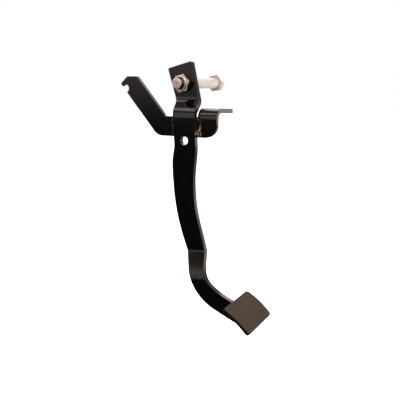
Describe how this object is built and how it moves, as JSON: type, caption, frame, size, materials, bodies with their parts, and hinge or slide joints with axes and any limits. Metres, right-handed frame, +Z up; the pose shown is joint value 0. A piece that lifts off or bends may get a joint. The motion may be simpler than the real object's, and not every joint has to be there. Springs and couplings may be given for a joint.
{
  "type": "clutch pedal",
  "caption": "Clutch pedal arm of set-over flat bar with curved foot pad, hooked cable lever, folded stop bracket and a long pivot bolt that it swings on.",
  "frame": {"origin": "on the pivot axis at mid thickness of the arm's eye", "axes": "X toward the driver, Y along the pivot bolt toward its head, Z up, square to the cross plate's lower edge"},
  "size_m": [0.2517, 0.1802, 0.373],
  "materials": {
    "black_paint": "gloss black",
    "pad_paint": "matt, warm grey brown",
    "weld": "heat tinted bead under thin paint",
    "zinc_steel": "bright zinc plate",
    "bush_bronze": "plain bearing bronze"
  },
  "bodies": {
    "pivot_set": {"pivot_bolt": "zinc_steel", "pivot_nut": "zinc_steel"},
    "pedal": {"pedal_arm": "black_paint", "cross_plate": "black_paint", "plate_weld_left": "weld", "plate_weld_right": "weld", "pedal_pad": "pad_paint", "pad_weld_front": "weld", "pad_weld_rear": "weld", "pivot_bush": "bush_bronze"}
  },
  "joints": [
    {"name": "pedal_swing", "type": "hinge", "parent": "pivot_set", "child": "pedal", "pos_m": [0, 0, 0], "axis": [0, 1, 0], "range_deg": [0, 28]}
  ]
}
